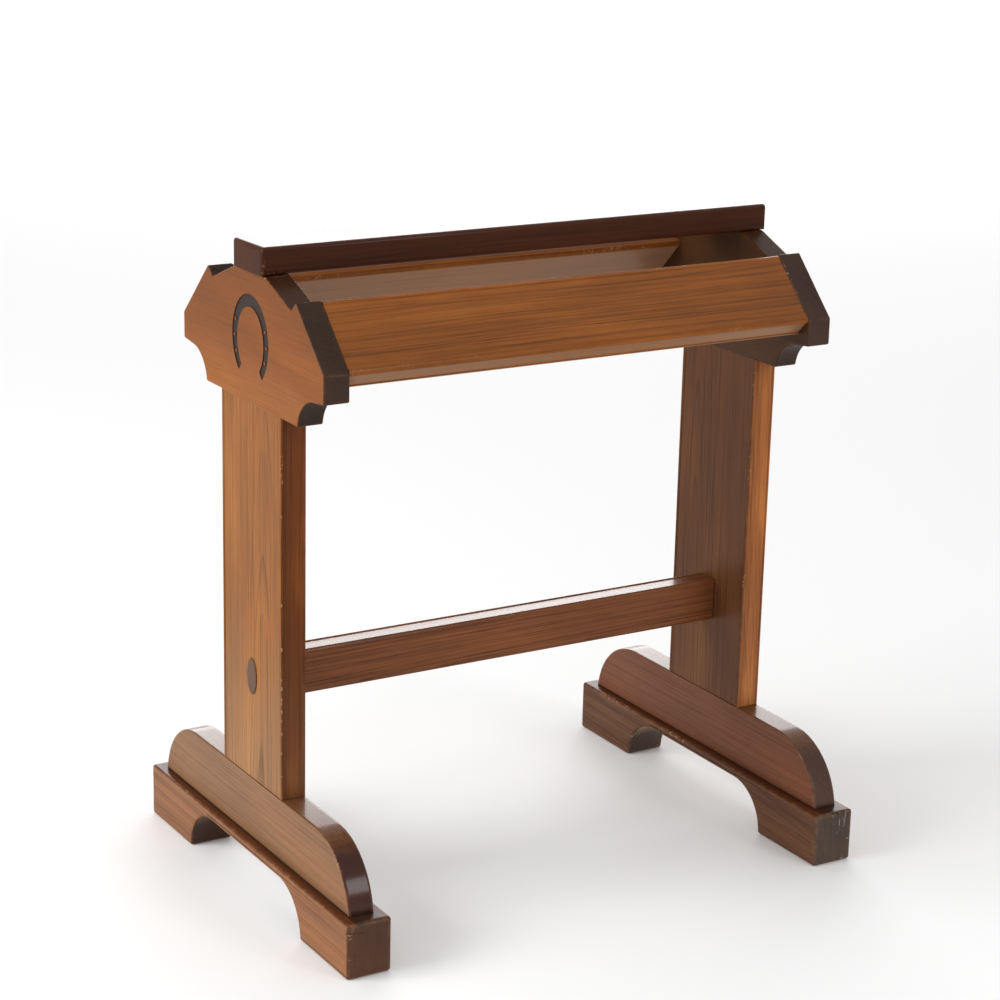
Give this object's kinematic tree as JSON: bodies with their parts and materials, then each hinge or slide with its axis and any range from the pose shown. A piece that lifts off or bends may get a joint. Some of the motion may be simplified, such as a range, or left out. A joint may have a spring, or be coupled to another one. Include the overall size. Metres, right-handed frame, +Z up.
{
  "type": "saddle rack",
  "caption": "Free-standing wooden saddle rack: coved end boards on uprights and arched sled feet, joined by a stretcher, sloping side rails and a flat ridge bar.",
  "frame": {"origin": "on the floor, under the middle of the rack", "axes": "+X along the rack from the front end frame to the rear one, +Y to the rack's right side, +Z up"},
  "size_m": [0.835, 0.632, 0.93],
  "materials": {
    "foot": "brown stain under clear varnish, scuffed at the ends",
    "cleat": "brown stain under clear varnish",
    "upright": "brown stain under clear varnish",
    "head": "orange brown stain under clear varnish",
    "stretcher": "red brown stain under clear varnish",
    "ridge_bar": "dark brown stain under clear varnish",
    "rail": "orange brown stain under clear varnish",
    "dowel": "bare hardwood",
    "zinc": "zinc plated"
  },
  "bodies": {
    "root": {"front_foot": "foot", "front_cleat": "cleat", "front_upright": "upright", "front_head": "head", "rear_foot": "foot", "rear_cleat": "cleat", "rear_upright": "upright", "rear_head": "head", "stretcher": "stretcher", "ridge_bar": "ridge_bar", "left_rail": "rail", "right_rail": "rail", "front_left_lag_screw": "zinc", "front_left_washer": "zinc", "front_left_foot_screw": "zinc", "front_left_head_dowel": "dowel", "front_left_ridge_dowel": "dowel", "front_left_lower_rail_dowel": "dowel", "front_left_upper_rail_dowel": "dowel", "front_right_lag_screw": "zinc", "front_right_washer": "zinc", "front_right_foot_screw": "zinc", "front_right_head_dowel": "dowel", "front_right_ridge_dowel": "dowel", "front_right_lower_rail_dowel": "dowel", "front_right_upper_rail_dowel": "dowel", "rear_left_lag_screw": "zinc", "rear_left_washer": "zinc", "rear_left_foot_screw": "zinc", "rear_left_head_dowel": "dowel", "rear_left_ridge_dowel": "dowel", "rear_left_lower_rail_dowel": "dowel", "rear_left_upper_rail_dowel": "dowel", "rear_right_lag_screw": "zinc", "rear_right_washer": "zinc", "rear_right_foot_screw": "zinc", "rear_right_head_dowel": "dowel", "rear_right_ridge_dowel": "dowel", "rear_right_lower_rail_dowel": "dowel", "rear_right_upper_rail_dowel": "dowel"}
  },
  "joints": []
}
